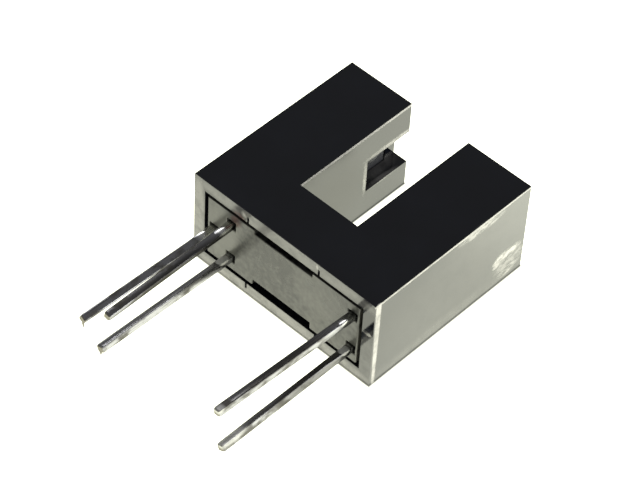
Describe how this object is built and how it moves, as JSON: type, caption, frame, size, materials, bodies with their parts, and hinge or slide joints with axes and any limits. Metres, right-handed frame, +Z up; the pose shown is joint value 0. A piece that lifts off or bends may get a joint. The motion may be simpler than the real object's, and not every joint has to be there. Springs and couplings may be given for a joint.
{
  "type": "slotted optical switch",
  "caption": "Flangeless U-shaped black moulded slotted optical switch: an infrared emitter faces a logic sensor across the slot, with square through-hole leads leaving the base.",
  "frame": {"origin": "middle of the web on the flat side that the part lies on", "axes": "+Z up off the flat side, +Y from the lead tips towards the arm tips, +X from the sensor arm to the emitter arm"},
  "size_m": [0.013, 0.0216, 0.0063],
  "materials": {
    "case_plastic": "black moulded polycarbonate, glossy",
    "base_plastic": "black moulded polycarbonate, satin gloss",
    "emitter_epoxy": "violet tinted infrared epoxy",
    "sensor_epoxy": "dark infrared-passing epoxy",
    "tinned_lead": "bright tin plating",
    "chip": "polished semiconductor",
    "gold_wire": "drawn gold"
  },
  "bodies": {
    "root": {"housing": "case_plastic", "base_plate": "base_plastic", "emitter_package": "emitter_epoxy", "emitter_anode_lead": "tinned_lead", "emitter_cathode_lead": "tinned_lead", "emitter_chip": "chip", "emitter_bond_wire": "gold_wire", "sensor_package": "sensor_epoxy", "sensor_supply_lead": "tinned_lead", "sensor_output_lead": "tinned_lead", "sensor_ground_lead": "tinned_lead", "sensor_chip": "chip", "sensor_supply_wire": "gold_wire", "sensor_output_wire": "gold_wire", "sensor_ground_wire": "gold_wire"}
  },
  "joints": []
}
